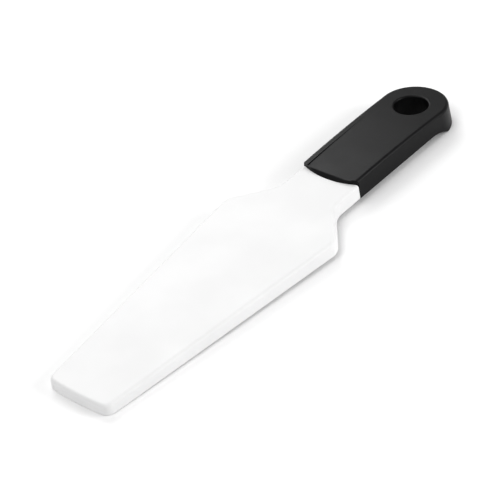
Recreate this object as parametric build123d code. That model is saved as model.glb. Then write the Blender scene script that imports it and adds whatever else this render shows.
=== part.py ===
from build123d import *
import math
import os

# A scraper with a long tapered blade and a short handle, in millimetres.
# Each piece is drawn with the blade's flat face on Z = 0, the front edge of the handle's
# sides on Y = 0, the tip towards -Y and the handle towards +Y. At the end both pieces are
# tilted and moved together, so that the tool lies on Z = 0 on its tip and its heel.

# Blade, seen from above
blade_length = 163.6  # front edge of the handle's sides to the corners of the tip
tip_width = 32.6
tip_bow = 0.9  # how far the middle of the tip stands ahead of its corners
tip_corner_radius = 3.5
shoulder_width = 61.6
shoulder_from_handle = 36.5
shoulder_radius = 8.0
neck_width = 30.6
neck_length = 18.0
neck_radius = 11.0

# Blade, seen from the side
tip_depth = 5.2
underside_slope = 0.65  # degrees by which the blade deepens towards the handle
face_thickness = 2.2
blade_wall = 2.4
tip_wall = 4.0
blade_draft = 5.0  # degrees that the walls lean out
face_edge_radius = 1.5
rim_edge_radius = 0.5

# Ribs under the blade
rib_thickness = 1.6
rib_spacing = 9.0
rib_count = 3
rib_recess = 1.2  # how far the ribs stop short of the rim
cross_rib_thickness = 1.4
cross_rib_spacing = 27.0
cross_rib_count = 5
cross_rib_recess = 2.0

# Handle, seen from above
handle_length = 61.6  # front edge of the sides to the centre of the round end
handle_front_width = 30.6
handle_end_width = 32.0
lip_bow = 3.3  # how far the middle of the lip stands ahead of its corners
lip_bevel_run = 2.0  # length, along the tool, of the sloping face on the front of the lip
lip_foot = 0.3  # height of the lip's front edge, under the sloping face, above the blade

# Handle, seen from the side
handle_arch_radius = 812.0
handle_crest = 12.0  # where the arched top is highest
handle_wall = 2.0
handle_top_wall = 2.2  # the lip's underside is level with the blade's face
handle_draft = 5.0  # degrees that the sides lean out
handle_edge_radius = 1.5
lip_edge_radius = 0.7
skirt_edge_radius = 0.5
heel_before_end = 8.6  # from where the underside turns down to the centre of the round end
heel_radius = 20.0
heel_drop = 3.5

# Shallow dish in the top of the handle
dish_margin = 3.2
dish_depth = 0.4
dish_to_hole = 8.0  # from where the dish runs out to the edge of the hanging hole

# Hanging hole, with a tube from the top of the handle to its underside
hole_radius = 8.0
hole_before_end = 1.6  # from the hole's axis to the centre of the round end
hole_edge_radius = 0.8
tube_wall = 2.0
tube_recess = 0.4  # how far the tube stays above the handle's rim

# Tang inside the handle
fit_gap = 0.1
tang_wall = 1.8
tang_plate = 2.0
tang_recess = 1.0  # how far the tang stays above the handle's rim
tang_end_gap = 1.0  # from the end of the tang to the tube

# Key under the handle's top, across the tool, which stands in a slot in the tang
key_front = 14.0
key_thickness = 2.4
key_width = 16.0
key_depth = 1.2  # how far it reaches below the tang's top

deep = 24.0  # reach of the solids that the pieces are cut from, below their tops
spare = 12.0  # how far a cutting tool runs past what it cuts
over_top = 1.0  # how far the handle's drawn sides run on above its top
tiny = 0.001
looks_down = -0.9  # upward part of the normal of a face that counts as an underside

tip_y = -blade_length
tip_front_y = tip_y - tip_bow
handle_top = handle_top_wall
tube_radius = hole_radius + tube_wall
tang_inset = handle_wall + fit_gap
tang_drop = handle_top_wall + fit_gap
hole_from_front = handle_length - hole_before_end
dish_end = hole_from_front - hole_radius - dish_to_hole
heel_start = handle_length - heel_before_end
tang_end = hole_from_front - tube_radius - tang_end_gap
handle_end_y = handle_length + handle_end_width / 2
slope = math.tan(math.radians(underside_slope))
heel_run = math.sqrt(heel_radius**2 - (heel_radius - heel_drop) ** 2)


def underside_z(y):
    """Height of the blade's rim, which runs on under the handle."""
    return -tip_depth - (y - tip_y) * slope


heel_front = (heel_start + heel_run, underside_z(heel_start) - heel_drop)
rest_slope = (underside_z(tip_front_y) - heel_front[1]) / (heel_front[0] - tip_front_y)


def corners(outline, x, y):
    """The two corners of an outline at x and -x."""
    return [v for v in outline.vertices() if abs(abs(v.X) - x) < tiny and abs(v.Y - y) < tiny]


def drafted(outline, top, draft):
    """A solid from an outline at height top, downwards, with sides that lean out."""
    return Part() + Solid.extrude_taper(Pos(Z=top) * outline.face(), (0, 0, -deep), -draft)


def block(low, high):
    """A box between two corners."""
    size = [b - a for a, b in zip(low, high)]
    middle = [(a + b) / 2 for a, b in zip(low, high)]
    return Pos(*middle) * Box(*size)


def side_prism(profile):
    """A solid as wide as any cutting needs, from a profile of (y, z) lines and arcs."""
    face = make_face([edge for line in profile for edge in line.edges()])
    return extrude(Plane.YZ * face, shoulder_width, both=True)


def above_underside(lift=0.0, heel=False):
    """All the space above the underside, raised by a distance, with or without the heel."""
    front = tip_front_y - spare
    back = handle_end_y + spare
    at = lambda y: (y, underside_z(y) + lift)
    if heel:
        start = at(heel_start)
        bend = RadiusArc(start, heel_front, heel_radius)
        low_back = (back, heel_front[1] - (back - heel_front[0]) * rest_slope)
        below = [Line(at(front), start), bend, Line(heel_front, low_back)]
    else:
        low_back = at(back)
        below = [Line(at(front), low_back)]
    over = Polyline(low_back, (back, deep), (front, deep), at(front))
    return side_prism([*below, over])


def under_arch(drop=0.0, turn=0.0, pivot_y=0.0):
    """All the space under the handle's arched top, lowered by a distance or turned."""
    centre = Pos(0, handle_crest, handle_top - handle_arch_radius)
    arch = centre * Rot(Y=-90) * Cylinder(handle_arch_radius - drop, 2 * shoulder_width)
    if not turn:
        return arch
    fall = (pivot_y - handle_crest) ** 2 / (2 * handle_arch_radius)
    pivot = Pos(0, pivot_y, handle_top - fall)
    return pivot * Rot(X=turn) * pivot.inverse() * arch


def blade_outline():
    """The blade from above, from its tip to the handle's front edge."""
    tip_x = tip_width / 2
    shoulder_x = shoulder_width / 2
    neck_x = neck_width / 2
    side = [(tip_x, tip_y), (shoulder_x, -shoulder_from_handle), (neck_x, -neck_length), (neck_x, 0)]
    tip_edge = ThreePointArc((-tip_x, tip_y), (0, tip_front_y), (tip_x, tip_y))
    right = Polyline(*side)
    left = Polyline(*[(-x, y) for x, y in side])
    back = Line((neck_x, 0), (-neck_x, 0))
    outline = make_face([*tip_edge.edges(), *right.edges(), *left.edges(), *back.edges()])
    for (x, y), radius in zip(side, (tip_corner_radius, shoulder_radius, neck_radius)):
        outline = fillet(corners(outline, x, y), radius)
    return outline


def handle_outline(inset=0.0, front=0.0):
    """The handle from above: a bowed front, straight sides and a round end."""
    front_x = handle_front_width / 2 - inset
    end_x = handle_end_width / 2 - inset
    end_y = handle_length
    right = Line((front_x, front), (end_x, end_y))
    end = ThreePointArc((end_x, end_y), (0, end_y + end_x), (-end_x, end_y))
    left = Line((-end_x, end_y), (-front_x, front))
    lip = ThreePointArc((-front_x, front), (0, front - lip_bow), (front_x, front))
    return make_face([*right.edges(), *end.edges(), *left.edges(), *lip.edges()])


def handle_prism(inset=0.0, front=0.0):
    """The space inside the handle's sides, which have their named size at the handle's top."""
    lean = over_top * math.tan(math.radians(handle_draft))
    return drafted(handle_outline(inset + lean, front + lean), handle_top + over_top, handle_draft)


def handle_space(inset=0.0, drop=0.0, front=0.0):
    """The space inside the handle's sides and under its arched top."""
    return handle_prism(inset, front) & under_arch(drop)


def pillar(radius):
    """A tall cylinder on the hanging hole's axis."""
    return Pos(0, hole_from_front) * Cylinder(radius, 2 * deep)


def undersides(body):
    """The faces of a body that look down."""
    return [face for face in body.faces() if face.normal_at().Z < looks_down]


def edges_round(faces):
    """The edges round a group of faces, from the tip's end of the tool to the handle's."""
    edges = [edge for face in faces for edge in face.edges()]
    outer = [edge for edge in edges if sum(edge.is_same(other) for other in edges) == 1]
    return ShapeList(outer).sort_by(Axis.Y)


def ahead_of_lip():
    """All the space ahead of the sloping face on the front of the lip."""
    rise = handle_top - lip_foot
    low = (-lip_bow - lip_bevel_run, lip_foot - rise)
    high = (-lip_bow + 2 * lip_bevel_run, lip_foot + 2 * rise)
    return side_prism([Polyline(low, high, (-spare, high[1]), (-spare, low[1]), low)])


def key(gap=0.0):
    """The key under the handle's top, with a gap round it."""
    side = key_width / 2 + gap
    back = key_front + key_thickness
    space = block((-side, key_front - gap, -deep), (side, back + gap, deep))
    return space - under_arch(tang_drop + key_depth + gap)


def hole_rim(body):
    """The one closed edge of the hanging hole, where it breaks out of the handle's top."""
    around = lambda point: math.hypot(point.X, point.Y - hole_from_front)
    closed = [edge for edge in body.edges() if edge.is_closed]
    return [edge for edge in closed if abs(around(edge @ 0) - hole_radius) < tiny]


def handle_shell():
    """The black shell: an arched top, an open front, a deeper round heel and the hole's tube."""
    shell = handle_space() & above_underside(heel=True)
    top = shell.faces().filter_by(GeomType.CYLINDER).sort_by(Axis.Z)[-1]
    shell = fillet(edges_round([top])[1:], handle_edge_radius)
    shell = fillet(edges_round(undersides(shell))[1:], skirt_edge_radius)
    dish_turn = math.degrees(math.atan(dish_depth / dish_end))
    dish = handle_prism(dish_margin, -spare)
    shell -= dish - under_arch(0, dish_turn, dish_end)
    shell -= ahead_of_lip()
    bevel = shell.faces().filter_by(GeomType.PLANE).sort_by(Axis.Y)[0]
    shell = fillet(bevel.edges().sort_by(Axis.Z)[-1:], lip_edge_radius)
    tube = pillar(tube_radius) & above_underside(tube_recess, heel=True)
    shell -= handle_space(handle_wall, handle_top_wall, -spare) - tube - key()
    shell -= pillar(hole_radius)
    return fillet(hole_rim(shell), hole_edge_radius)


def rib_grid():
    """Long and cross ribs, filled up to the blade's face."""
    grid = Part()
    for number in range(rib_count):
        x = (number - (rib_count - 1) / 2) * rib_spacing
        half = rib_thickness / 2
        grid += block((x - half, tip_y, -deep), (x + half, 0, 0)) & above_underside(rib_recess)
    for number in range(cross_rib_count):
        y = tip_y + (number + 1) * cross_rib_spacing
        half = cross_rib_thickness / 2
        rib = block((-shoulder_width, y - half, -deep), (shoulder_width, y + half, 0))
        grid += rib & above_underside(cross_rib_recess)
    half = rib_thickness / 2
    grid += block((-half, 0, -deep), (half, tang_end, 0)) & above_underside(tang_recess)
    return grid


def blade_hollow():
    """The hollows under the blade's face and inside the tang, round their ribs."""
    inner = offset(blade_outline(), amount=-blade_wall)
    hollow = drafted(inner, -face_thickness, blade_draft)
    hollow &= block((-shoulder_width, tip_y + tip_wall, -deep), (shoulder_width, 0, 0))
    tang = handle_space(tang_inset + tang_wall, tang_drop + tang_plate)
    tang &= block((-shoulder_width, tang_wall, -deep), (shoulder_width, tang_end - tang_wall, 0))
    return (hollow + tang) - rib_grid()


def blade():
    """The white blade: a flat face with a turned-down wall, and a tang for the handle."""
    body = drafted(blade_outline(), 0, blade_draft) & above_underside()
    face = body.faces().sort_by(Axis.Z)[-1]
    body = fillet(edges_round([face])[:-1], face_edge_radius)
    body = fillet(edges_round(undersides(body))[:-1], rim_edge_radius)
    body -= handle_prism(-fit_gap, -fit_gap)
    tang = handle_space(tang_inset, tang_drop, -lip_bow - blade_wall) & above_underside(tang_recess)
    body += tang & block((-shoulder_width, tip_y, -deep), (shoulder_width, tang_end, deep))
    return body - key(fit_gap) - blade_hollow()


def at_rest(pieces):
    """The pieces tilted and moved so that the tool lies on Z = 0, centred on X = Y = 0."""
    tilt = Rot(X=math.degrees(math.atan(rest_slope)))
    boxes = [(tilt * piece).bounding_box() for piece in pieces.values()]
    middle_y = (min(box.min.Y for box in boxes) + max(box.max.Y for box in boxes)) / 2
    place = Pos(0, -middle_y, -min(box.min.Z for box in boxes)) * tilt
    return {name: place * piece for name, piece in pieces.items()}


os.makedirs("parts", exist_ok=True)
for name, piece in at_rest({"blade": blade(), "handle_shell": handle_shell()}).items():
    export_step(piece, f"parts/{name}.step")
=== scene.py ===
import math

import bpy
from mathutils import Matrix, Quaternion, Vector


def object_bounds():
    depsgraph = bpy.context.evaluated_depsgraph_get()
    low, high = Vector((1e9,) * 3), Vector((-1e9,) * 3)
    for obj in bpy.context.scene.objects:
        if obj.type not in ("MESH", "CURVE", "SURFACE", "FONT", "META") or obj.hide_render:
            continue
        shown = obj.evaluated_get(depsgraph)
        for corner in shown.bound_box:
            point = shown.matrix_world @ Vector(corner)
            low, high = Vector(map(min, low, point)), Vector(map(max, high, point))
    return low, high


# A scraper with a long white moulded blade and a short black moulded handle, lying on a pale table.
# Lengths are in metres. The blade's tip points to -Y and the handle to +Y.

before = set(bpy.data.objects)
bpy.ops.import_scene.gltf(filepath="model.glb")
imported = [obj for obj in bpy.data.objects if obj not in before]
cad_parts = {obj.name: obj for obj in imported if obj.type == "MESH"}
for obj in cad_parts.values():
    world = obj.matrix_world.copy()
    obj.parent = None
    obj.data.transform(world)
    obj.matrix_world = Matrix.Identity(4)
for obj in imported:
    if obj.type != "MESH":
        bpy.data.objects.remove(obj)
cad_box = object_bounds()

MM = 0.001

# Camera: where it stands, seen from the middle of the tool
CAMERA_AZIMUTH = 45.4  # degrees round from the tip's end
CAMERA_ELEVATION = 36.85
CAMERA_ROLL = -8.79
CAMERA_DISTANCE = 0.765
CAMERA_AIM = Vector((0.0009, -0.0151, 0.0))  # the point it looks at, from the middle of the tool's box
LENS_MM = 129.6
SENSOR_MM = 36.0

# Light: even white from all round, and three soft panels
SKY_HEX = "#FFFFFF"
SKY_STRENGTH = 0.45
SOFTBOXES = [  # name, place from the middle of the tool, watts and side of the square panel
    ("key_light", Vector((-0.9, 0.55, 0.85)), 6.0, 0.7),
    ("fill_light", Vector((0.95, 0.5, 0.42)), 5.4, 0.5),
    ("top_light", Vector((-0.1, -0.6, 1.0)), 3.1, 0.6),
]

# Table
TABLE_SIZE = 6.0
TABLE_GAP_MM = 0.02  # keeps the table's face clear of the flat faces that rest on it
TABLE_HEX = "#FAFAFA"

# White blade: polypropylene, injection moulded in a polished mould
BLADE_HEXES = ("#E8E8E8", "#E5E5E5")
BLADE_IOR = 1.49
BLADE_ROUGHNESS = (0.50, 0.56)
BLADE_FLOW_MM = 26.0  # breadth of the faint cloudiness left by the flow of the melt
BLADE_RIPPLE_MM = 0.9  # soft ripple of a polished mould
BLADE_RIPPLE_DETAIL = {"Detail": 3.0}
BLADE_RIPPLE_BUMP = {"Strength": 0.05, "Distance": 0.1 * MM}

# Black handle: glass-filled nylon, injection moulded in a spark-eroded mould
HANDLE_HEXES = ("#0D0D0E", "#121213")
HANDLE_IOR = 1.3  # nylon is about 1.53, lowered to match how little the pitted skin shines
HANDLE_ROUGHNESS = (0.38, 0.44)
HANDLE_PATCH_MM = 14.0  # breadth of the patches where the surface is a little smoother
HANDLE_GRAIN_MM = 0.5  # spark-erosion pits are about 0.1 mm across, drawn coarser so that they show
HANDLE_GRAIN_DETAIL = {"Detail": 4.0, "Roughness": 0.6}
HANDLE_GRAIN_BUMP = {"Strength": 0.35, "Distance": 0.05 * MM}

# Broad patches on both plastics
PATCH_DETAIL = 2.0
COLOUR_DRIFT = (0.35, 0.65)  # the noise values between which the colour changes
SHEEN_DRIFT = (0.3, 0.7)  # the noise values between which the roughness changes


def linear(code):
    """An sRGB hex colour as linear red, green, blue and alpha."""
    parts = [int(code[i:i + 2], 16) / 255 for i in (1, 3, 5)]
    low, bend, scale, shift, power = 0.04045, 12.92, 1.055, 0.055, 2.4
    return [p / bend if p <= low else ((p + shift) / scale) ** power for p in parts] + [1.0]


def add_node(tree, kind, settings=None, links=None):
    """A node with its settings and the outputs that feed it."""
    node = tree.nodes.new(kind)
    for name, value in (settings or {}).items():
        node.inputs[name].default_value = value
    for name, output in (links or {}).items():
        tree.links.new(output, node.inputs[name])
    return node


def blank_material(name):
    """A material with an empty node tree and its output node."""
    material = bpy.data.materials.new(name)
    material.use_nodes = True
    tree = material.node_tree
    tree.nodes.clear()
    return material, tree, add_node(tree, "ShaderNodeOutputMaterial")


def moulded_plastic(name, hexes, ior, roughness, patch_mm, relief_mm, relief_detail, bump):
    """A plastic whose colour and sheen drift in broad patches, with a fine relief on its skin."""
    material, tree, output = blank_material(name)
    place = {"Vector": add_node(tree, "ShaderNodeTexCoord").outputs["Object"]}
    broad = {"Scale": 1 / (patch_mm * MM), "Detail": PATCH_DETAIL}
    fine = {"Scale": 1 / (relief_mm * MM), **relief_detail}
    patches = add_node(tree, "ShaderNodeTexNoise", broad, place).outputs["Fac"]
    relief = add_node(tree, "ShaderNodeTexNoise", fine, place).outputs["Fac"]
    colour = add_node(tree, "ShaderNodeValToRGB", links={"Fac": patches})
    for stop, position, code in zip(colour.color_ramp.elements, COLOUR_DRIFT, hexes):
        stop.position = position
        stop.color = linear(code)
    drift = dict(zip(("From Min", "From Max", "To Min", "To Max"), SHEEN_DRIFT + roughness))
    sheen = add_node(tree, "ShaderNodeMapRange", drift, {"Value": patches})
    skin = add_node(tree, "ShaderNodeBump", bump, {"Height": relief})
    feeds = {
        "Base Color": colour.outputs["Color"],
        "Roughness": sheen.outputs["Result"],
        "Normal": skin.outputs["Normal"],
    }
    shader = add_node(tree, "ShaderNodeBsdfPrincipled", {"IOR": ior, "Metallic": 0.0}, feeds)
    tree.links.new(shader.outputs["BSDF"], output.inputs["Surface"])
    return material


def moulded_polypropylene():
    """White polypropylene from a polished mould: a soft satin sheen with a faint cloudiness."""
    return moulded_plastic(
        "moulded_white_polypropylene", BLADE_HEXES, BLADE_IOR, BLADE_ROUGHNESS,
        BLADE_FLOW_MM, BLADE_RIPPLE_MM, BLADE_RIPPLE_DETAIL, BLADE_RIPPLE_BUMP,
    )


def moulded_nylon():
    """Black glass-filled nylon from a spark-eroded mould: dark, with a fine matt grain."""
    return moulded_plastic(
        "spark_textured_black_nylon", HANDLE_HEXES, HANDLE_IOR, HANDLE_ROUGHNESS,
        HANDLE_PATCH_MM, HANDLE_GRAIN_MM, HANDLE_GRAIN_DETAIL, HANDLE_GRAIN_BUMP,
    )


def painted_table():
    """The pale matt table top under the tool."""
    material, tree, output = blank_material("matt_pale_table")
    shader = add_node(tree, "ShaderNodeBsdfDiffuse", {"Color": linear(TABLE_HEX)})
    tree.links.new(shader.outputs["BSDF"], output.inputs["Surface"])
    return material


def dress(node, material):
    """Gives a CAD node one finish all over."""
    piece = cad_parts[node]
    for held in piece.material_slots:
        held.material = material


def table():
    """A plane just under the tool."""
    bpy.ops.mesh.primitive_plane_add(size=TABLE_SIZE, location=(0, 0, cad_box[0][2] - TABLE_GAP_MM * MM))
    top = bpy.context.object
    top.name = "table_top"
    top.data.materials.append(painted_table())


def softbox(name, place, watts, size, aim):
    """A square light panel that faces a point."""
    data = bpy.data.lights.new(name, "AREA")
    data.energy = watts
    data.size = size
    panel = bpy.data.objects.new(name, data)
    bpy.context.collection.objects.link(panel)
    panel.location = aim + place
    panel.rotation_euler = place.to_track_quat("Z", "Y").to_euler()


def sky():
    """Even white light from all round."""
    world = bpy.data.worlds.new("studio")
    world.use_nodes = True
    background = world.node_tree.nodes["Background"]
    background.inputs["Color"].default_value = linear(SKY_HEX)
    background.inputs["Strength"].default_value = SKY_STRENGTH
    bpy.context.scene.world = world


def plain_colours():
    """Plain colours with the firm contrast of a studio product picture."""
    shown = bpy.context.scene.view_settings
    shown.view_transform = "Standard"
    shown.look = "Medium High Contrast"


def camera(middle):
    """The camera, looking down at the tool from the right of its tip."""
    azimuth = math.radians(CAMERA_AZIMUTH)
    elevation = math.radians(CAMERA_ELEVATION)
    level = math.cos(elevation)
    back = Vector((math.sin(azimuth) * level, -math.cos(azimuth) * level, math.sin(elevation)))
    data = bpy.data.cameras.new("camera")
    data.lens = LENS_MM
    data.sensor_width = SENSOR_MM
    eye = bpy.data.objects.new("camera", data)
    bpy.context.collection.objects.link(eye)
    eye.location = middle + CAMERA_AIM + back * CAMERA_DISTANCE
    turn = back.to_track_quat("Z", "Y") @ Quaternion((0, 0, 1), math.radians(CAMERA_ROLL))
    eye.rotation_euler = turn.to_euler()
    bpy.context.scene.camera = eye


low, high = (Vector(corner) for corner in cad_box)
middle = (low + high) / 2

camera(middle)
plain_colours()
sky()
for name, place, watts, size in SOFTBOXES:
    softbox(name, place, watts, size, middle)
table()
dress("blade", moulded_polypropylene())
dress("handle_shell", moulded_nylon())
